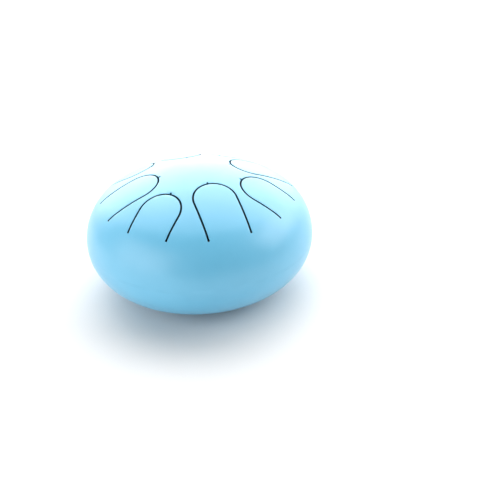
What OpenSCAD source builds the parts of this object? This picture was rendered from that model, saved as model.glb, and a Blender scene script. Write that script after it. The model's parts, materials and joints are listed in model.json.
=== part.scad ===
// Steel tongue drum: a welded body of two pressed shells with eight tongues cut in the crown.
// Origin: on the drum's axis, on the surface that the feet stand on. +Z is up, and -Y points
// along tongue 1. Tongue numbers go round anticlockwise, seen from above.

/* [Body] */
// Diameter of the drum at its widest circle
drum_d = 155; // [128:1:200]
// Height of the crown above the widest circle
crown_h = 48.25; // [40:0.25:60]
// Radius of the top shell's shoulder, from the widest circle up to the crown
shoulder_r = 37; // [28:0.5:39]
// Depth of the bottom shell below the widest circle, which is also the radius of its corner
belly_h = 30.5; // [25:0.5:38]
// Thickness of the steel sheet
sheet = 1.5; // [1.1:0.1:2]
// Diameter of the sound port in the middle of the base
port_d = 24; // [16:1:29]

/* [Rim weld] */
// Width of the weld's face on the outside
weld_w = 2.4; // [1.6:0.1:3.4]
// Depth of the weld's groove from the outside
weld_depth = 1; // [0.6:0.05:1.05]

/* [Tongues] */
// Distance in plan from the widest circle in to the roots of the tongues
root_inset = 13.5; // [11:0.5:17]
// Width of a tongue at its root, between the middles of its two slits
tongue_root_w = 27; // [20:0.5:33]
// Width of a tongue at its round end, between the middles of its two slits
tongue_tip_w = 27.5; // [20:0.5:33]
// Width of the slits
slit_w = 1.2; // [0.8:0.1:1.6]
// Diameter of the hole that ends each slit, which keeps the sheet from cracking there
end_hole_d = 1.5; // [1.3:0.1:2.2]
// Length of the small notch where each cut begins, from the slit towards the drum's axis
notch_l = 1.2; // [0.5:0.1:2]
// Gap at the root, where the tongue bends
root_gap = 0.02; // [0.01:0.01:0.05]
// Distance in plan from the drum's axis to the end of the slit round tongue 1, at the front
tip_r_1 = 24; // [22:0.5:40]
// The same for tongue 2
tip_r_2 = 32.5; // [22:0.5:40]
// The same for tongue 3
tip_r_3 = 24.5; // [22:0.5:40]
// The same for tongue 4
tip_r_4 = 35; // [22:0.5:40]
// The same for tongue 5
tip_r_5 = 24; // [22:0.5:40]
// The same for tongue 6
tip_r_6 = 36; // [22:0.5:40]
// The same for tongue 7
tip_r_7 = 26.5; // [22:0.5:40]
// The same for tongue 8
tip_r_8 = 34.5; // [22:0.5:40]
// Angle round the drum from tongue 1 to tongue 2
turn_2 = 47; // [44:0.5:48]
// The same to tongue 3
turn_3 = 91; // [88:0.5:92]
// The same to tongue 4
turn_4 = 135; // [133:0.5:137]
// The same to tongue 5
turn_5 = 180; // [178:0.5:182]
// The same to tongue 6
turn_6 = 224; // [223:0.5:227]
// The same to tongue 7
turn_7 = 270; // [268:0.5:272]
// The same to tongue 8
turn_8 = 313.5; // [312:0.5:316]

/* [Feet] */
// Number of feet
foot_count = 3; // [3:1:3]
// Diameter of a foot where it meets the base
foot_d = 16; // [14:0.5:20]
// Diameter of a foot where it meets the ground
foot_tread_d = 14; // [12.5:0.5:20]
// Height of a foot
foot_h = 6; // [5.5:0.1:9]
// Flat left between a foot and the bottom shell's corner
foot_edge = 1.5; // [0.5:0.1:3]
// Clearance on the radius round the washer in the foot's recess
recess_gap = 0.3; // [0.1:0.05:0.6]
// Clearance between the ground and the screw's head
ground_gap = 0.8; // [0.3:0.1:1]

/* [Fasteners] */
// Diameter of the foot's screw
screw_d = 4; // [3.2:0.1:4.8]
// Length of the screw under its head
screw_l = 12; // [9:0.5:20]
// Diameter of the screw's button head
head_d = 7.6; // [6.6:0.1:9]
// Height of the screw's button head
head_h = 2.2; // [1.6:0.1:2.4]
// Size across the flats of the screw's socket
socket_af = 2.5; // [1.5:0.1:3]
// Depth of the screw's socket
socket_depth = 1.3; // [0.8:0.1:1.4]
// Outer diameter of the washer
washer_d = 9; // [8:0.1:10.8]
// Thickness of the washer
washer_t = 0.8; // [0.5:0.1:1]
// Diameter of the rivet nut's flange
flange_d = 9; // [8:0.1:11]
// Thickness of the rivet nut's flange
flange_t = 0.8; // [0.5:0.1:1]
// Diameter of the rivet nut's barrel
barrel_d = 6; // [5.4:0.1:7.2]
// Length of the rivet nut above its flange, after it is set
barrel_l = 8.5; // [7:0.5:14]
// Diameter of the collar that swells against the inside of the sheet when the nut is set
collar_d = 8.4; // [7.4:0.1:10]
// Height of that collar
collar_h = 2.6; // [2:0.1:4]
// Clearance on the radius round the screw, the washer's hole, the barrel and the flange
fit_gap = 0.05; // [0.02:0.01:0.1]

/* [Hidden] */

paint = "#8cc8ea";
zinc = "#b9bcc0";
black_rubber = "#26272a";

tip_r = [tip_r_1, tip_r_2, tip_r_3, tip_r_4, tip_r_5, tip_r_6, tip_r_7, tip_r_8];
turn = [0, turn_2, turn_3, turn_4, turn_5, turn_6, turn_7, turn_8];
tongue_count = len(tip_r);
front = -90;

drum_r = drum_d / 2;
rim_z = foot_h + belly_h;
base_r = drum_r - belly_h;
foot_r = base_r - foot_edge - foot_d / 2;
foot_step = 360 / foot_count;

// The crown is a sphere that runs smoothly into the shoulder's ring.
shoulder_x = drum_r - shoulder_r;
crown_r = (shoulder_x ^ 2 + crown_h ^ 2 - shoulder_r ^ 2) / (2 * (crown_h - shoulder_r));
crown_z = crown_h - crown_r;
shoulder_a = atan2(-crown_z, shoulder_x);
shoulder_end_x = shoulder_x + shoulder_r * cos(shoulder_a);

// The root's place on the outside, and the tilt of the sheet's normal there.
root_r = drum_r - root_inset;
root_on_crown = root_r < shoulder_end_x;
root_a = root_on_crown ? acos(root_r / crown_r) : acos((root_r - shoulder_x) / shoulder_r);
root_z = root_on_crown ? crown_z + crown_r * sin(root_a) : shoulder_r * sin(root_a);

head_z = ground_gap;
washer_z = head_z + head_h;
web_z = washer_z + washer_t;
flange_z = foot_h - flange_t;
recess_r = washer_d / 2 + recess_gap;
tread_edge = 0.8;
reach = 2 * drum_d;
overcut = 1;

$fn = 144;
arc_fn = 360;
small_fn = 48;

// ---- Profiles, drawn with the widest circle at height 0 ----

// A ring of sheet whose outside has radius r.
module sheet_ring(x, z, r) {
    translate([x, z]) difference() {
        circle(r, $fn = arc_fn);
        circle(r - sheet, $fn = arc_fn);
    }
}

// The crown's arc meets the shoulder's on the line through their two centres.
module top_profile() {
    meet = [2 * shoulder_x, -crown_z];
    intersection() {
        sheet_ring(0, crown_z, crown_r);
        polygon([[0, crown_z], meet, [meet.x, reach], [0, reach]]);
    }
    intersection() {
        sheet_ring(shoulder_x, 0, shoulder_r);
        polygon([[shoulder_x, 0], meet, [reach, meet.y], [reach, 0]]);
    }
}

module bottom_profile() {
    intersection() {
        sheet_ring(base_r, 0, belly_h);
        translate([base_r, -reach]) square(reach);
    }
    translate([port_d / 2, -belly_h]) square([base_r - port_d / 2, sheet]);
}

// The V-shaped groove round the widest circle.
module weld_groove() {
    half_w = weld_w / 2;
    past = half_w * (1 + overcut / weld_depth);
    polygon([
        [drum_r - weld_depth, 0],
        [drum_r + overcut, -past],
        [drum_r + overcut, past]
    ]);
}

// ---- Tongues, drawn along +X with the drum's axis at 0 ----

// Outline of tongue i in plan. Grow is the distance outside the middle of its slit.
module tongue_outline(i, grow) {
    end_r = tongue_tip_w / 2;
    end_x = tip_r[i] + end_r;
    root_half = tongue_root_w / 2 + grow;
    end_half = end_r + grow;
    translate([end_x, 0]) circle(end_r + grow);
    polygon([
        [end_x, -end_half],
        [root_r, -root_half],
        [drum_r, -root_half],
        [drum_r, root_half],
        [root_r, root_half],
        [end_x, end_half]
    ]);
}

// The notch where the cut round tongue i begins.
module notch_outline(i) {
    slit_x = tip_r[i] - slit_w / 2;
    translate([slit_x - notch_l, -slit_w / 2]) square([notch_l + slit_w, slit_w]);
}

// Places its children at the root, with X square to the sheet and Z along it to the crown.
module at_root() {
    translate([root_r, 0, rim_z + root_z]) rotate([0, -root_a, 0]) children();
}

// All that lies inward of the root, cut square to the sheet.
module inward_of_root(gap) {
    at_root() translate([-reach, -drum_r, gap]) cube([2 * reach, drum_d, reach]);
}

module end_holes() {
    for (side = [-1, 1]) at_root()
        translate([-2 * sheet, side * tongue_root_w / 2, 0])
            rotate([0, 90, 0]) cylinder(h = 3 * sheet, r = end_hole_d / 2, $fn = small_fn);
}

module window(i) {
    intersection() {
        linear_extrude(rim_z + crown_h + overcut) {
            tongue_outline(i, slit_w / 2);
            notch_outline(i);
        }
        inward_of_root(0);
    }
}

module aim(i) {
    rotate([0, 0, front + turn[i]]) children();
}

// ---- Sub-parts ----

module top_shell() {
    color(paint) difference() {
        translate([0, 0, rim_z]) rotate_extrude() difference() {
            top_profile();
            weld_groove();
        }
        for (i = [0:tongue_count - 1]) aim(i) {
            window(i);
            end_holes();
        }
    }
}

module tongue(i) {
    color(paint) aim(i) difference() {
        intersection() {
            translate([0, 0, rim_z]) rotate_extrude() top_profile();
            linear_extrude(rim_z + crown_h + overcut) tongue_outline(i, -slit_w / 2);
            inward_of_root(root_gap);
        }
        end_holes();
    }
}

module bottom_shell() {
    color(paint) difference() {
        translate([0, 0, rim_z]) rotate_extrude() difference() {
            bottom_profile();
            weld_groove();
        }
        for (i = [0:foot_count - 1]) at_foot(i)
            translate([0, 0, foot_h - overcut])
                cylinder(h = sheet + 2 * overcut, r = barrel_d / 2 + fit_gap, $fn = small_fn);
    }
}

module rim_weld() {
    color(paint) translate([0, 0, rim_z]) rotate_extrude() intersection() {
        union() {
            top_profile();
            bottom_profile();
        }
        weld_groove();
    }
}

module at_foot(i) {
    rotate([0, 0, front + foot_step * i]) translate([foot_r, 0, 0]) children();
}

module foot(i) {
    tread_r = foot_tread_d / 2;
    color(black_rubber) at_foot(i) rotate_extrude($fn = small_fn) difference() {
        polygon([
            [0, 0],
            [tread_r - tread_edge, 0],
            [tread_r, tread_edge],
            [foot_d / 2, foot_h],
            [0, foot_h]
        ]);
        translate([0, -overcut]) square([recess_r, web_z + overcut]);
        square([screw_d / 2 + fit_gap, foot_h]);
        translate([0, flange_z]) square([flange_d / 2 + fit_gap, flange_t + overcut]);
    }
}

module foot_washer(i) {
    color(zinc) at_foot(i) translate([0, 0, washer_z]) difference() {
        cylinder(h = washer_t, r = washer_d / 2, $fn = small_fn);
        translate([0, 0, -overcut])
            cylinder(h = washer_t + 2 * overcut, r = screw_d / 2 + fit_gap, $fn = small_fn);
    }
}

module foot_screw(i) {
    head_r = head_d / 2;
    // The button is a slice of a ball whose flat face lies against the washer.
    ball_r = (head_r ^ 2 + head_h ^ 2) / (2 * head_h);
    color(zinc) at_foot(i) difference() {
        union() {
            translate([0, 0, washer_z]) rotate_extrude($fn = small_fn) intersection() {
                translate([0, ball_r - head_h]) circle(ball_r);
                translate([0, -head_h]) square([head_r, head_h]);
            }
            translate([0, 0, washer_z - overcut])
                cylinder(h = screw_l + overcut, r = screw_d / 2, $fn = small_fn);
        }
        translate([0, 0, head_z - overcut])
            cylinder(h = socket_depth + overcut, r = socket_af / 2 / cos(30), $fn = 6);
    }
}

module rivet_nut(i) {
    color(zinc) at_foot(i) rotate_extrude($fn = small_fn) difference() {
        union() {
            translate([0, flange_z]) square([flange_d / 2, flange_t]);
            translate([0, flange_z]) square([barrel_d / 2, flange_t + barrel_l]);
            translate([0, foot_h + sheet]) square([collar_d / 2, collar_h]);
        }
        translate([0, flange_z - overcut])
            square([screw_d / 2 + fit_gap, flange_t + barrel_l + 2 * overcut]);
    }
}

top_shell();
bottom_shell();
rim_weld();
for (i = [0:tongue_count - 1])
    tongue(i);
for (i = [0:foot_count - 1]) {
    foot(i);
    foot_washer(i);
    foot_screw(i);
    rivet_nut(i);
}
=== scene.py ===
"""Looks of a small steel tongue drum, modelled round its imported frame.

Lengths are in metres. The drum's axis is Z. A tongue is modelled along +X, with its
round end towards the axis, and is then turned to its place.
"""
import json
import math
import bpy
from mathutils import Matrix, Vector


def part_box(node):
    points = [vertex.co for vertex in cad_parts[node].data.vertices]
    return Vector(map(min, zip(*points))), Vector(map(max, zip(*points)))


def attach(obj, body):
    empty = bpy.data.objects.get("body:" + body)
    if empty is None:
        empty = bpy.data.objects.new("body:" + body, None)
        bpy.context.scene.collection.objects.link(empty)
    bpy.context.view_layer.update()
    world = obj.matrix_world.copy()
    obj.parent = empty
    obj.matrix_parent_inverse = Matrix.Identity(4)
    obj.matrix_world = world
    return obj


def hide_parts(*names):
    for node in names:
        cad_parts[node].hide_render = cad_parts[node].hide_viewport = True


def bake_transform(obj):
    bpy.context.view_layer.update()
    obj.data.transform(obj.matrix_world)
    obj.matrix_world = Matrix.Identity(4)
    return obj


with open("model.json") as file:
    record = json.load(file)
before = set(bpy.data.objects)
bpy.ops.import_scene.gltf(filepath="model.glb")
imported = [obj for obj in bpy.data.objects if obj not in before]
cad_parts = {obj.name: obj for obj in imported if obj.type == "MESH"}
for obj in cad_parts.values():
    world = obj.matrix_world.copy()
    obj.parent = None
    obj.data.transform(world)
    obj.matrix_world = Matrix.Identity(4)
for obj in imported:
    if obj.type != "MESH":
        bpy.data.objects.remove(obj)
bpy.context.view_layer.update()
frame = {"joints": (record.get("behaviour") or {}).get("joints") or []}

MM = 0.001

# Sizes that the frame holds.
DRUM_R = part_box("rim_weld")[1].x
RIM_Z, CROWN_Z = (corner.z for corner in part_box("top_shell"))
CROWN_H = CROWN_Z - RIM_Z
BASE_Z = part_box("bottom_shell")[0].z
BELLY_H = RIM_Z - BASE_Z
BASE_R = DRUM_R - BELLY_H
FEET = [(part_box(f"foot_{i}")[0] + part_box(f"foot_{i}")[1]) / 2 for i in (1, 2, 3)]
FOOT_R = FEET[0].xy.length
HINGES = [joint["pos_m"] for joint in frame["joints"]]

# Sheet and seams.
SHEET = 1.5 * MM
SHOULDER_R = 37 * MM
SHOULDER_X = DRUM_R - SHOULDER_R
PORT_R = 12 * MM
WELD_HALF = 1.2 * MM
WELD_DEPTH = 1 * MM
NUT_HOLE_R = 3.05 * MM

# Slits and tongues.
SLIT_W = 1.2 * MM
TIP_W = 27.5 * MM
ROOT_W = 27 * MM
ROOT_R = DRUM_R - 13.5 * MM
TIP_R = [r * MM for r in (24, 32.5, 24.5, 35, 24, 36, 26.5, 34.5)]
NOTCH_L = 1.2 * MM
END_HOLE_R = 0.75 * MM

# Feet, from the ground up: washer in the recess, rubber web, flange of the nut.
HOLE_R = 2.05 * MM
SHANK_R = 2 * MM
FLANGE_R = 4.5 * MM
SEAT_Z = 3 * MM
WEB_Z = 3.8 * MM
FLANGE_Z = BASE_Z - 0.8 * MM

# Studio light: the world is dim in front and brightest high up behind the drum.
BRIGHT_SIDE = (0.30, 0.80, 0.45)
BRIGHT_FROM = 0.35
DIM = 0.37
BRIGHT = 3.7
STUDIO_MIDDLE = (0, 0, 0.05)

# How finely round shapes are drawn, and how edges are softened.
ROUND_STEPS = 240
ARC_STEP = math.radians(1.8)
CAP_SIDES = 72
HOLE_SIDES = 20
SMALL_STEPS = 64
SMOOTH_ANGLE = math.radians(32)
CUT_ANGLE = math.radians(50)
TURNED_ANGLE = math.radians(25)
SLIT_EDGE = 0.12 * MM
PORT_EDGE = 0.35 * MM
MERGE = 0.001 * MM
STRAY_EDGE = 0.05 * MM
AT_ROOT = 0.05 * MM

# The crown is part of a sphere that runs smoothly into the shoulder's arc.
CROWN_R = (SHOULDER_X**2 + CROWN_H**2 - SHOULDER_R**2) / (2 * (CROWN_H - SHOULDER_R))
CROWN_DROP = CROWN_R - CROWN_H
SHOULDER_ARC = math.atan2(CROWN_DROP, SHOULDER_X)
ROOT_TILT = math.acos((ROOT_R - SHOULDER_X) / SHOULDER_R)
ROOT = Vector((ROOT_R, 0, RIM_Z + SHOULDER_R * math.sin(ROOT_TILT)))
ALONG_SHEET = Vector((-math.sin(ROOT_TILT), 0, math.cos(ROOT_TILT)))


# ---- Camera, floor and light ----


def place_camera():
    """Stands in front and to the left, about 30 degrees above the drum."""
    rise, roll, bearing = (math.radians(a) for a in (30.18, 1.35, -20.7))
    ahead = Vector((0, math.cos(rise), -math.sin(rise)))
    upright = Vector((0, math.sin(rise), math.cos(rise)))
    level = Vector((1, 0, 0))
    right = math.cos(roll) * level - math.sin(roll) * upright
    up = math.sin(roll) * level + math.cos(roll) * upright
    away, aside, below = (DRUM_R * n for n in (5.8478, 0.4435, 0.1725))
    place = aside * right - below * up - away * ahead
    turn = Matrix.Rotation(bearing, 3, "Z")
    axes = Matrix((turn @ right, turn @ up, turn @ -ahead)).transposed()
    lens = bpy.data.cameras.new("camera")
    lens.sensor_width = 36
    lens.lens = 46.8
    camera = bpy.data.objects.new("camera", lens)
    bpy.context.scene.collection.objects.link(camera)
    camera.matrix_world = (
        Matrix.Translation(turn @ place + Vector((0, 0, RIM_Z))) @ axes.to_4x4()
    )
    bpy.context.scene.camera = camera


def soft_light(name, place, size, power):
    """A large soft lamp that faces the middle of the studio."""
    lamp = bpy.data.lights.new(name, "AREA")
    lamp.shape = "RECTANGLE"
    lamp.size, lamp.size_y = size
    lamp.energy = power
    light = bpy.data.objects.new(name, lamp)
    bpy.context.scene.collection.objects.link(light)
    light.location = place
    ahead = Vector(STUDIO_MIDDLE) - Vector(place)
    light.rotation_euler = ahead.to_track_quat("-Z", "Y").to_euler()


def set_up_studio():
    """A white studio: dim in front, bright overhead and behind, over pale paper."""
    scene = bpy.context.scene
    scene.view_settings.view_transform = "Standard"
    world = bpy.data.worlds.new("studio")
    scene.world = world
    world.use_nodes = True
    tree = world.node_tree
    sky = tree.nodes["Background"]
    sky.inputs["Color"].default_value = (1, 1, 1, 1)
    direction = tree.nodes.new("ShaderNodeTexCoord")
    toward = tree.nodes.new("ShaderNodeVectorMath")
    toward.operation = "DOT_PRODUCT"
    toward.inputs[1].default_value = Vector(BRIGHT_SIDE).normalized()
    rise = tree.nodes.new("ShaderNodeMapRange")
    rise.interpolation_type = "SMOOTHSTEP"
    rise.inputs["From Min"].default_value = BRIGHT_FROM
    rise.inputs["From Max"].default_value = 1.0
    rise.inputs["To Min"].default_value = DIM
    rise.inputs["To Max"].default_value = BRIGHT
    tree.links.new(direction.outputs["Generated"], toward.inputs[0])
    tree.links.new(toward.outputs["Value"], rise.inputs["Value"])
    tree.links.new(rise.outputs["Result"], sky.inputs["Strength"])

    soft_light("overhead", (0.05, 0.20, 0.95), (1.1, 0.9), 0.8)
    soft_light("left", (-1.10, -0.25, 0.46), (1.3, 0.9), 7.6)
    soft_light("right", (0.85, -0.20, 0.52), (0.8, 0.6), 4.4)

    bpy.ops.object.select_all(action="DESELECT")
    bpy.ops.mesh.primitive_plane_add(size=6, location=(0, 0, -0.05 * MM))
    floor = named("floor")
    settle(floor)
    floor.data.materials.append(studio_paper())


# ---- Finishes ----


def new_material(name):
    material = bpy.data.materials.new(name)
    material.use_nodes = True
    return material


def surface(material):
    return material.node_tree.nodes["Principled BSDF"]


def settings(material, values):
    for name, value in values.items():
        surface(material).inputs[name].default_value = value


def new_group(name, inputs, outputs):
    """A node group with number inputs (name: value) and outputs (name: kind)."""
    group = bpy.data.node_groups.new(name, "ShaderNodeTree")
    for label, value in inputs.items():
        socket = group.interface.new_socket(
            label, in_out="INPUT", socket_type="NodeSocketFloat"
        )
        socket.default_value = value
    for label, kind in outputs.items():
        group.interface.new_socket(label, in_out="OUTPUT", socket_type=kind)
    start = group.nodes.new("NodeGroupInput")
    end = group.nodes.new("NodeGroupOutput")
    return group, start, end


def node(tree, kind, **values):
    """A new node. A value named like a socket sets it; another is the node's own."""
    made = tree.nodes.new(kind)
    for name, value in values.items():
        label = name.replace("_", " ").title()
        if label in made.inputs:
            made.inputs[label].default_value = value
        else:
            setattr(made, name, value)
    return made


def spread_group():
    """Slow drift over the surface, from Low to High."""
    group, start, end = new_group(
        "slow_drift",
        {"Scale": 30.0, "Low": 0.0, "High": 1.0},
        {"Value": "NodeSocketFloat"},
    )
    place = node(group, "ShaderNodeTexCoord")
    noise = node(group, "ShaderNodeTexNoise", detail=3.0, roughness=0.55)
    spread = node(group, "ShaderNodeMapRange", interpolation_type="SMOOTHSTEP")
    spread.inputs["From Min"].default_value = 0.3
    spread.inputs["From Max"].default_value = 0.7
    link = group.links.new
    link(place.outputs["Object"], noise.inputs["Vector"])
    link(start.outputs["Scale"], noise.inputs["Scale"])
    link(noise.outputs["Fac"], spread.inputs["Value"])
    link(start.outputs["Low"], spread.inputs["To Min"])
    link(start.outputs["High"], spread.inputs["To Max"])
    link(spread.outputs["Result"], end.inputs["Value"])
    return group


def skin_group():
    """Fine skin of a finish: rounded bumps of one size with a finer grain."""
    group, start, end = new_group(
        "fine_skin",
        {"Bump Scale": 900.0, "Grain Scale": 4000.0, "Grain Part": 0.3},
        {"Height": "NodeSocketFloat"},
    )
    place = node(group, "ShaderNodeTexCoord")
    bumps = node(group, "ShaderNodeTexNoise", detail=1.0, roughness=0.4)
    grain = node(group, "ShaderNodeTexNoise", detail=2.0, roughness=0.6)
    mix = node(group, "ShaderNodeMix", data_type="FLOAT")
    link = group.links.new
    for noise, size in ((bumps, "Bump Scale"), (grain, "Grain Scale")):
        link(place.outputs["Object"], noise.inputs["Vector"])
        link(start.outputs[size], noise.inputs["Scale"])
    link(start.outputs["Grain Part"], mix.inputs[0])
    link(bumps.outputs["Fac"], mix.inputs[2])
    link(grain.outputs["Fac"], mix.inputs[3])
    link(mix.outputs[0], end.inputs["Height"])
    return group


def add_drift(material, scale, low, high):
    drift = node(material.node_tree, "ShaderNodeGroup", node_tree=DRIFT)
    for name, value in (("Scale", scale), ("Low", low), ("High", high)):
        drift.inputs[name].default_value = value
    return drift.outputs["Value"]


def add_roughness(material, scale, low, high):
    drift = add_drift(material, scale, low, high)
    material.node_tree.links.new(drift, surface(material).inputs["Roughness"])


def add_tint(material, scale, colour_a, colour_b):
    tree = material.node_tree
    tint = node(tree, "ShaderNodeMix", data_type="RGBA")
    tint.inputs[6].default_value = colour_a + (1,)
    tint.inputs[7].default_value = colour_b + (1,)
    tree.links.new(add_drift(material, scale, 0, 1), tint.inputs[0])
    tree.links.new(tint.outputs[2], surface(material).inputs["Base Color"])


def add_skin(material, bump_scale, grain_scale, grain_part, depth, strength):
    tree = material.node_tree
    skin = node(tree, "ShaderNodeGroup", node_tree=SKIN)
    for name, value in (
        ("Bump Scale", bump_scale),
        ("Grain Scale", grain_scale),
        ("Grain Part", grain_part),
    ):
        skin.inputs[name].default_value = value
    bump = node(tree, "ShaderNodeBump", strength=strength, distance=depth)
    tree.links.new(skin.outputs["Height"], bump.inputs["Height"])
    tree.links.new(bump.outputs["Normal"], surface(material).inputs["Normal"])


SATIN_COAT = {
    "Coat Weight": 1.0,
    "Coat Roughness": 0.35,
    "Coat IOR": 1.6,
    "Specular IOR Level": 0.4,
}


def sky_blue_paint():
    """Satin spray paint with a faint orange peel."""
    paint = new_material("satin_sky_blue")
    settings(paint, SATIN_COAT)
    add_tint(paint, 24, (0.112, 0.475, 0.715), (0.128, 0.502, 0.745))
    add_roughness(paint, 60, 0.48, 0.56)
    add_skin(paint, 1100, 5200, 0.25, 0.02 * MM, 0.35)
    return paint


def ground_weld():
    """The ground and painted weld seam, a little rougher than the sheet beside it."""
    weld = new_material("painted_weld")
    settings(weld, SATIN_COAT)
    add_tint(weld, 60, (0.108, 0.466, 0.706), (0.128, 0.500, 0.742))
    add_roughness(weld, 160, 0.48, 0.58)
    add_skin(weld, 700, 2600, 0.5, 0.04 * MM, 0.4)
    return weld


def studio_paper():
    """White paper that shows only from above, so that the underside can be seen."""
    paper = new_material("studio_paper")
    settings(paper, {"Base Color": (0.80, 0.80, 0.80, 1), "Roughness": 0.8})
    tree = paper.node_tree
    side = node(tree, "ShaderNodeNewGeometry")
    clear = node(tree, "ShaderNodeBsdfTransparent")
    mix = node(tree, "ShaderNodeMixShader")
    tree.links.new(side.outputs["Backfacing"], mix.inputs[0])
    tree.links.new(surface(paper).outputs[0], mix.inputs[1])
    tree.links.new(clear.outputs[0], mix.inputs[2])
    tree.links.new(mix.outputs[0], tree.nodes["Material Output"].inputs["Surface"])
    return paper


def bare_steel_and_shade():
    """Cold-rolled sheet left bare inside the drum: grey, oiled and a little blotchy,
    and kept darker than bare steel as painted shade for the inside.
    """
    steel = new_material("bare_steel_darkened_for_shade")
    settings(steel, {"Metallic": 1.0})
    add_tint(steel, 45, (0.20, 0.205, 0.215), (0.30, 0.30, 0.305))
    add_roughness(steel, 90, 0.38, 0.58)
    add_skin(steel, 600, 6000, 0.6, 0.015 * MM, 0.4)
    return steel


def shaded_slit_wall():
    """Walls of the slits, coloured near-black blue as painted shade for the dark inside
    of the narrow cuts.
    """
    wall = new_material("painted_shade_slit_wall")
    settings(wall, {"Specular IOR Level": 0.3})
    add_tint(wall, 300, (0.012, 0.030, 0.045), (0.022, 0.060, 0.090))
    add_roughness(wall, 400, 0.55, 0.75)
    add_skin(wall, 2500, 7000, 0.5, 0.03 * MM, 0.6)
    return wall


def black_rubber():
    rubber = new_material("moulded_rubber")
    settings(rubber, {"Specular IOR Level": 0.35})
    add_tint(rubber, 120, (0.012, 0.012, 0.013), (0.026, 0.026, 0.028))
    add_roughness(rubber, 200, 0.62, 0.82)
    add_skin(rubber, 2200, 6500, 0.5, 0.04 * MM, 0.6)
    return rubber


def zinc_plate():
    zinc = new_material("zinc_plate")
    settings(zinc, {"Metallic": 1.0})
    add_tint(zinc, 260, (0.56, 0.575, 0.60), (0.70, 0.71, 0.72))
    add_roughness(zinc, 500, 0.24, 0.40)
    add_skin(zinc, 1800, 9000, 0.6, 0.01 * MM, 0.5)
    return zinc


# ---- Working by hand ----


def pick(*things):
    """Selects only these objects, with the first one active."""
    if bpy.context.object and bpy.context.object.mode != "OBJECT":
        bpy.ops.object.mode_set(mode="OBJECT")
    bpy.ops.object.select_all(action="DESELECT")
    for thing in things:
        thing.select_set(True)
    bpy.context.view_layer.objects.active = things[0]


def named(name):
    piece = bpy.context.object
    piece.name = piece.data.name = name
    return piece


def settle(piece):
    """Puts the piece's place into its mesh."""
    pick(piece)
    bpy.ops.object.transform_apply(location=True, rotation=True, scale=True)


def edit(piece, select="SELECT", kind="VERT"):
    pick(piece)
    bpy.ops.object.mode_set(mode="EDIT")
    bpy.ops.mesh.select_mode(type=kind)
    bpy.ops.mesh.select_all(action=select)


def select_where(piece, kind, wanted):
    """In edit mode, selects the vertices whose place passes a test, or the faces."""
    bpy.ops.mesh.select_mode(type=kind)
    bpy.ops.mesh.select_all(action="DESELECT")
    bpy.ops.object.mode_set(mode="OBJECT")
    mesh = piece.data
    if kind == "VERT":
        for vertex in mesh.vertices:
            vertex.select = wanted(vertex.co)
    else:
        for face in mesh.polygons:
            face.select = wanted(face)
    bpy.ops.object.mode_set(mode="EDIT")


def start_line(name, x, z):
    """A new mesh of one vertex, left in edit mode with that vertex selected."""
    bpy.ops.object.select_all(action="DESELECT")
    bpy.ops.mesh.primitive_plane_add(size=MM, location=(x, 0, z))
    piece = named(name)
    settle(piece)
    edit(piece)
    bpy.ops.mesh.merge(type="CENTER")
    return piece


def draw_arc(centre, angle, steps=None):
    """Carries the line on round a centre (x, z), anticlockwise as seen from -Y."""
    bpy.ops.mesh.spin(
        steps=steps or max(1, math.ceil(abs(angle) / ARC_STEP)),
        angle=angle,
        center=(centre[0], 0, centre[1]),
        axis=(0, 1, 0),
    )


def draw_line(x0, z0, x1, z1, steps=1):
    """Carries the line on straight from one point (x, z) to the next."""
    for _ in range(steps):
        bpy.ops.mesh.extrude_region_move(
            TRANSFORM_OT_translate={"value": ((x1 - x0) / steps, 0, (z1 - z0) / steps)}
        )


def lathe(x=0.0, steps=ROUND_STEPS):
    """Spins the drawn line about an upright axis and closes the seam."""
    bpy.ops.mesh.select_all(action="SELECT")
    bpy.ops.mesh.spin(steps=steps, angle=2 * math.pi, center=(x, 0, 0), axis=(0, 0, 1))
    bpy.ops.mesh.select_all(action="SELECT")
    bpy.ops.mesh.remove_doubles(threshold=MERGE)
    bpy.ops.mesh.normals_make_consistent(inside=False)
    bpy.ops.object.mode_set(mode="OBJECT")


def apply(piece, kind, **values):
    modifier = piece.modifiers.new(kind.lower(), kind)
    for name, value in values.items():
        setattr(modifier, name, value)
    pick(piece)
    bpy.ops.object.modifier_apply(modifier=modifier.name)


def copy_of(piece, name):
    pick(piece)
    bpy.ops.object.duplicate()
    return named(name)


def turn_to(piece, angle):
    """Turns a finished piece about the drum's axis."""
    piece.rotation_euler.z = angle
    settle(piece)


def carve(piece, cutters):
    """Cuts solids out of a piece and throws them away."""
    bench = bpy.data.collections.new("cutters")
    bpy.context.scene.collection.children.link(bench)
    for cutter in cutters:
        bench.objects.link(cutter)
    apply(
        piece,
        "BOOLEAN",
        operation="DIFFERENCE",
        solver="EXACT",
        operand_type="COLLECTION",
        collection=bench,
        material_mode="TRANSFER",
    )
    pick(*cutters)
    bpy.ops.object.delete()
    bpy.data.collections.remove(bench)


def keep_inside(piece, cutter):
    apply(
        piece,
        "BOOLEAN",
        operation="INTERSECT",
        solver="EXACT",
        object=cutter,
        material_mode="TRANSFER",
    )
    pick(cutter)
    bpy.ops.object.delete()


def weld_strays(piece):
    edit(piece)
    bpy.ops.mesh.remove_doubles(threshold=STRAY_EDGE)
    bpy.ops.mesh.dissolve_degenerate(threshold=MERGE)
    bpy.ops.object.mode_set(mode="OBJECT")


def round_edges(piece, width, segments, angle=CUT_ANGLE, here=None, **how):
    """Rounds the edges sharper than an angle, or those with both ends where wanted."""
    edit(piece, "DESELECT", "EDGE")
    bpy.ops.mesh.edges_select_sharp(sharpness=angle)
    if here:
        bpy.ops.object.mode_set(mode="OBJECT")
        mesh = piece.data
        for edge in mesh.edges:
            ends = [mesh.vertices[i].co for i in edge.vertices]
            edge.select = edge.select and all(here(co) for co in ends)
        mesh.polygons.foreach_set("select", [False] * len(mesh.polygons))
        bpy.ops.object.mode_set(mode="EDIT")
    bpy.ops.mesh.bevel(offset=width, segments=segments, affect="EDGES", **how)
    bpy.ops.object.mode_set(mode="OBJECT")


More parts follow.
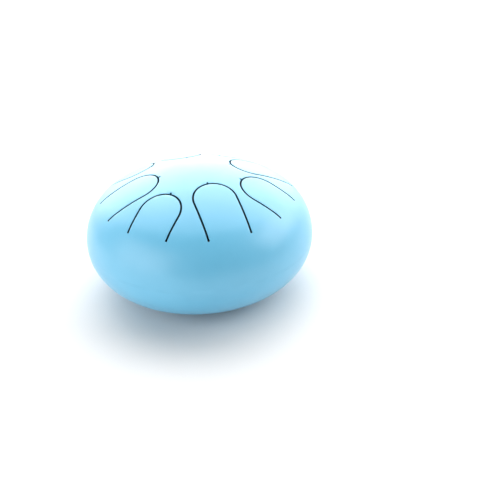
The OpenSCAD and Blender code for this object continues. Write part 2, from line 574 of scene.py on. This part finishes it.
def smooth(piece):
    pick(piece)
    bpy.ops.object.shade_smooth_by_angle(angle=SMOOTH_ANGLE)


def finish(piece, body, slot, *nodes):
    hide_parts(*nodes)
    if body:
        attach(piece, body)


# ---- Shells and tongues ----


def top_wall():
    """The whole pressed top before it is cut: crown, shoulder and the weld's groove."""
    thin = SHOULDER_R - SHEET
    cut = math.asin(WELD_HALF / SHOULDER_R)
    wall = start_line("top_wall", 0, RIM_Z + CROWN_H - SHEET)
    draw_arc((0, RIM_Z - CROWN_DROP), SHOULDER_ARC - math.pi / 2)
    draw_arc((SHOULDER_X, RIM_Z), -SHOULDER_ARC)
    draw_line(SHOULDER_X + thin, RIM_Z, DRUM_R - WELD_DEPTH, RIM_Z)
    groove = SHOULDER_X + SHOULDER_R * math.cos(cut)
    draw_line(DRUM_R - WELD_DEPTH, RIM_Z, groove, RIM_Z + WELD_HALF)
    draw_arc((SHOULDER_X, RIM_Z), SHOULDER_ARC - cut)
    draw_arc((0, RIM_Z - CROWN_DROP), math.pi / 2 - SHOULDER_ARC)
    lathe()
    coat_sheet(wall)
    return wall


def bottom_wall():
    """The pressed bottom: flat base, rounded corner, port and the weld's groove."""
    thin = BELLY_H - SHEET
    cut = math.asin(WELD_HALF / BELLY_H)
    wall = start_line("drum_bottom", PORT_R, BASE_Z + SHEET)
    draw_line(PORT_R, BASE_Z + SHEET, BASE_R, BASE_Z + SHEET, steps=8)
    draw_arc((BASE_R, RIM_Z), math.pi / 2)
    draw_line(BASE_R + thin, RIM_Z, DRUM_R - WELD_DEPTH, RIM_Z)
    groove = BASE_R + BELLY_H * math.cos(cut)
    draw_line(DRUM_R - WELD_DEPTH, RIM_Z, groove, RIM_Z - WELD_HALF)
    draw_arc((BASE_R, RIM_Z), cut - math.pi / 2)
    draw_line(BASE_R, BASE_Z, PORT_R, BASE_Z, steps=8)
    draw_line(PORT_R, BASE_Z, PORT_R, BASE_Z + SHEET)
    lathe()
    coat_sheet(wall)
    return wall


def weld_ring():
    """The bead that fills the groove, ground flush with both shells."""
    top_cut = math.asin(WELD_HALF / SHOULDER_R)
    low_cut = math.asin(WELD_HALF / BELLY_H)
    high_x = SHOULDER_X + SHOULDER_R * math.cos(top_cut)
    low_x = BASE_R + BELLY_H * math.cos(low_cut)
    ring = start_line("drum_weld", DRUM_R - WELD_DEPTH, RIM_Z)
    draw_line(DRUM_R - WELD_DEPTH, RIM_Z, high_x, RIM_Z + WELD_HALF)
    draw_arc((SHOULDER_X, RIM_Z), -top_cut, steps=2)
    draw_arc((BASE_R, RIM_Z), -low_cut, steps=2)
    draw_line(low_x, RIM_Z - WELD_HALF, DRUM_R - WELD_DEPTH, RIM_Z)
    lathe()
    ring.data.materials.append(WELD)
    return ring


def coat_sheet(wall):
    """Paints the outside and the edges, and gives the inside bare steel that is
    darkened as painted shade.
    """
    wall.data.materials.append(PAINT)
    wall.data.materials.append(STEEL_AND_SHADE)
    edit(wall)
    select_where(
        wall,
        "FACE",
        lambda face: face.normal.dot(face.center - Vector((0, 0, RIM_Z))) < 0
        and face.normal.xy.dot(face.center.xy) < 0.3 * face.center.xy.length
        and not (face.center.xy.length < PORT_R + MERGE and face.center.z < RIM_Z),
    )
    wall.active_material_index = 1
    bpy.ops.object.material_slot_assign()
    bpy.ops.object.mode_set(mode="OBJECT")


def above_root(solid):
    """Cuts a solid off at the root, square to the sheet, and keeps the crown's side."""
    edit(solid)
    bpy.ops.mesh.bisect(
        plane_co=ROOT, plane_no=ALONG_SHEET, use_fill=True, clear_inner=True
    )
    bpy.ops.mesh.select_all(action="SELECT")
    bpy.ops.mesh.normals_make_consistent(inside=False)
    bpy.ops.object.mode_set(mode="OBJECT")


def tongue_block(name, tip_r, grow):
    """An upright solid with a tongue's outline, grown by this much all round."""
    end_x = tip_r + TIP_W / 2
    half = TIP_W / 2 + grow
    bpy.ops.object.select_all(action="DESELECT")
    bpy.ops.mesh.primitive_circle_add(
        vertices=CAP_SIDES, radius=half, location=(end_x, 0, RIM_Z)
    )
    block = named(name)
    # The walls this block cuts take this material, the painted shade of the slits.
    block.data.materials.append(SLIT_SHADE)
    settle(block)
    edit(block)
    select_where(block, "VERT", lambda co: co.x > end_x + MERGE)
    bpy.ops.mesh.delete(type="VERT")
    select_where(block, "VERT", lambda co: co.x > end_x - MERGE)
    for x, width in ((ROOT_R, ROOT_W / 2 + grow), (DRUM_R + MM, ROOT_W / 2 + grow)):
        bpy.ops.mesh.extrude_vertices_move(
            TRANSFORM_OT_translate={"value": (x - end_x, 0, 0)}
        )
        bpy.ops.transform.resize(
            value=(1, width / half, 1), center_override=(x, 0, RIM_Z)
        )
        end_x, half = x, width
    bpy.ops.mesh.select_all(action="SELECT")
    bpy.ops.mesh.edge_face_add()
    bpy.ops.mesh.extrude_region_move(
        TRANSFORM_OT_translate={"value": (0, 0, CROWN_H + 2 * MM)}
    )
    bpy.ops.object.mode_set(mode="OBJECT")
    above_root(block)
    return block


def notch_block(tip_r):
    """The short notch where the cut of a slit starts, towards the crown's middle."""
    bpy.ops.object.select_all(action="DESELECT")
    place = (tip_r - NOTCH_L / 2, 0, RIM_Z + CROWN_H - 4 * MM)
    bpy.ops.mesh.primitive_cube_add(size=1, location=place)
    block = named("notch")
    # The walls this block cuts take this material, the painted shade of the slits.
    block.data.materials.append(SLIT_SHADE)
    block.scale = (NOTCH_L + SLIT_W, SLIT_W, 12 * MM)
    settle(block)
    return block


def end_hole_rod(side):
    """A rod square to the sheet, for the round end of a slit."""
    bpy.ops.object.select_all(action="DESELECT")
    bpy.ops.mesh.primitive_cylinder_add(
        vertices=HOLE_SIDES,
        radius=END_HOLE_R,
        depth=8 * MM,
        location=ROOT + Vector((0, side * ROOT_W / 2, 0)),
        rotation=(0, math.pi / 2 - ROOT_TILT, 0),
    )
    rod = named("end_hole")
    # The walls this rod cuts take this material, the painted shade of the slits.
    rod.data.materials.append(SLIT_SHADE)
    settle(rod)
    return rod


def slit_cutters(tip_r, angle):
    cutters = [tongue_block("window", tip_r, SLIT_W / 2), notch_block(tip_r)]
    cutters += [end_hole_rod(side) for side in (-1, 1)]
    for cutter in cutters:
        turn_to(cutter, angle)
    return cutters


def soften_slits(piece, on_slit):
    """Rounds the sharp painted edges of the slits, but not the root or the rim."""
    round_edges(piece, SLIT_EDGE, 2, here=on_slit, loop_slide=False, material=0)


# ---- Feet and fasteners, turned at the place of a foot that lies along +X ----


def turned(name, outline, coat, edge, segments=2):
    """A ring turned from an outline of (radius, height) points, with rounded edges."""
    (r0, z0), rest = outline[0], outline[1:] + outline[:1]
    piece = start_line(name, FOOT_R + r0, z0)
    for r, z in rest:
        draw_line(r0, z0, r, z)
        r0, z0 = r, z
    lathe(x=FOOT_R, steps=SMALL_STEPS)
    round_edges(piece, edge, segments, TURNED_ANGLE, clamp_overlap=True)
    piece.data.materials.append(coat)
    return piece


def make_foot():
    """A tapered rubber foot with a recess below its web and a pocket for the flange."""
    tread_r, top_r, recess_r, pocket_r = 7 * MM, 8 * MM, 4.8 * MM, 4.55 * MM
    tread_edge = 0.8 * MM
    outline = [
        (recess_r, 0),
        (tread_r - tread_edge, 0),
        (tread_r, tread_edge),
        (top_r, BASE_Z),
        (pocket_r, BASE_Z),
        (pocket_r, FLANGE_Z),
        (HOLE_R, FLANGE_Z),
        (HOLE_R, WEB_Z),
        (recess_r, WEB_Z),
    ]
    return turned("foot", outline, RUBBER, edge=0.25 * MM, segments=3)


def make_washer():
    outline = [(HOLE_R, SEAT_Z), (FLANGE_R, SEAT_Z), (FLANGE_R, WEB_Z), (HOLE_R, WEB_Z)]
    return turned("washer", outline, ZINC, edge=0.12 * MM)


def make_screw():
    """Button-head screw: a domed head with a hexagon socket, and a plain shank."""
    head_r, head_h = 3.8 * MM, 2.2 * MM
    shank_top, lead_in = SEAT_Z + 11.6 * MM, 0.4 * MM
    key_half, key_depth = 1.25 * MM, 1.3 * MM
    ball_r = (head_r**2 + head_h**2) / (2 * head_h)
    sweep = math.acos((ball_r - head_h) / ball_r)
    screw = start_line("screw", FOOT_R, SEAT_Z - head_h)
    draw_arc((FOOT_R, SEAT_Z - head_h + ball_r), sweep, steps=14)
    draw_line(head_r, SEAT_Z, SHANK_R, SEAT_Z)
    draw_line(SHANK_R, SEAT_Z, SHANK_R, shank_top)
    draw_line(SHANK_R, shank_top, SHANK_R - lead_in, shank_top + lead_in)
    draw_line(SHANK_R - lead_in, shank_top + lead_in, 0, shank_top + lead_in)
    lathe(x=FOOT_R, steps=SMALL_STEPS)
    bpy.ops.object.select_all(action="DESELECT")
    bpy.ops.mesh.primitive_cylinder_add(
        vertices=6,
        radius=key_half / math.cos(math.pi / 6),
        depth=2 * key_depth,
        location=(FOOT_R, 0, SEAT_Z - head_h),
    )
    key = named("socket")
    settle(key)
    carve(screw, [key])
    round_edges(screw, 0.1 * MM, 2, clamp_overlap=True)
    screw.data.materials.append(ZINC)
    return screw


def make_nut():
    """Rivet nut: flange below the sheet, swollen collar and plain barrel above it."""
    barrel_r, collar_r = 3 * MM, 4.2 * MM
    sheet_z = BASE_Z + SHEET
    collar_z, barrel_z = sheet_z + 2.6 * MM, BASE_Z + 8.5 * MM
    outline = [
        (HOLE_R, FLANGE_Z),
        (FLANGE_R, FLANGE_Z),
        (FLANGE_R, BASE_Z),
        (barrel_r, BASE_Z),
        (barrel_r, sheet_z),
        (collar_r, sheet_z),
        (collar_r, collar_z),
        (barrel_r, collar_z),
        (barrel_r, barrel_z),
        (HOLE_R, barrel_z),
    ]
    return turned("rivet_nut", outline, ZINC, edge=0.15 * MM)


# ---- The drum ----


def facing(place):
    """The direction of a place from the drum's axis, as an angle from +X."""
    return math.atan2(place[1], place[0])


def make_tongue(wall, number, tip_r, angle):
    tongue = copy_of(wall, f"drum_tongue_{number}")
    turn_to(tongue, -angle)
    keep_inside(tongue, tongue_block("outline", tip_r, -SLIT_W / 2))
    carve(tongue, [end_hole_rod(-1), end_hole_rod(1)])
    weld_strays(tongue)
    soften_slits(tongue, lambda co: (co - ROOT).dot(ALONG_SHEET) > AT_ROOT)
    turn_to(tongue, angle)
    smooth(tongue)
    finish(tongue, None, "sky_blue_paint", f"tongue_{number}")
    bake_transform(tongue)


def off_root(co):
    """True away from the hidden roots of the tongues and from the weld's groove."""
    above_weld, beside_hole = 5 * MM, -0.3 * MM
    if co.z < RIM_Z + above_weld:
        return False
    for hinge in HINGES:
        local = Matrix.Rotation(-facing(hinge), 3, "Z") @ co
        beside = abs(local.y) - (ROOT_W + SLIT_W) / 2
        if abs((local - ROOT).dot(ALONG_SHEET)) < AT_ROOT and beside < beside_hole:
            return False
    return True


def at_port(co):
    return abs(co.xy.length - PORT_R) < 0.01 * MM and co.z < RIM_Z


def make_top():
    wall = top_wall()
    for number, (tip_r, hinge) in enumerate(zip(TIP_R, HINGES), 1):
        make_tongue(wall, number, tip_r, facing(hinge))
    cutters = []
    for tip_r, hinge in zip(TIP_R, HINGES):
        cutters += slit_cutters(tip_r, facing(hinge))
    carve(wall, cutters)
    weld_strays(wall)
    soften_slits(wall, off_root)
    smooth(wall)
    wall.name = wall.data.name = "drum_top"
    finish(wall, "drum", "sky_blue_paint", "top_shell")


def make_bottom():
    bottom = bottom_wall()
    holes = []
    for place in FEET:
        bpy.ops.object.select_all(action="DESELECT")
        bpy.ops.mesh.primitive_cylinder_add(
            vertices=48,
            radius=NUT_HOLE_R,
            depth=6 * MM,
            location=(place.x, place.y, BASE_Z),
        )
        hole = named("nut_hole")
        settle(hole)
        holes.append(hole)
    carve(bottom, holes)
    round_edges(bottom, PORT_EDGE, 3, here=at_port, clamp_overlap=True)
    smooth(bottom)
    finish(bottom, "drum", "sky_blue_paint", "bottom_shell")


def make_weld():
    ring = weld_ring()
    smooth(ring)
    finish(ring, "drum", "sky_blue_paint", "rim_weld")


def make_feet():
    for make, slot, node_name in (
        (make_foot, "black_rubber", "foot"),
        (make_washer, "zinc_steel", "foot_washer"),
        (make_screw, "zinc_steel", "foot_screw"),
        (make_nut, "zinc_steel", "rivet_nut"),
    ):
        pattern = make()
        smooth(pattern)
        for number, place in enumerate(FEET, 1):
            piece = copy_of(pattern, f"drum_{node_name}_{number}")
            turn_to(piece, facing(place))
            finish(piece, "drum", slot, f"{node_name}_{number}")
        pick(pattern)
        bpy.ops.object.delete()


DRIFT = spread_group()
SKIN = skin_group()
PAINT = sky_blue_paint()
WELD = ground_weld()
# Bare steel for the inside, darkened as painted shade.
STEEL_AND_SHADE = bare_steel_and_shade()
# Near-black painted shade for the walls of the slits.
SLIT_SHADE = shaded_slit_wall()
RUBBER = black_rubber()
ZINC = zinc_plate()

place_camera()
set_up_studio()
make_top()
make_bottom()
make_weld()
make_feet()
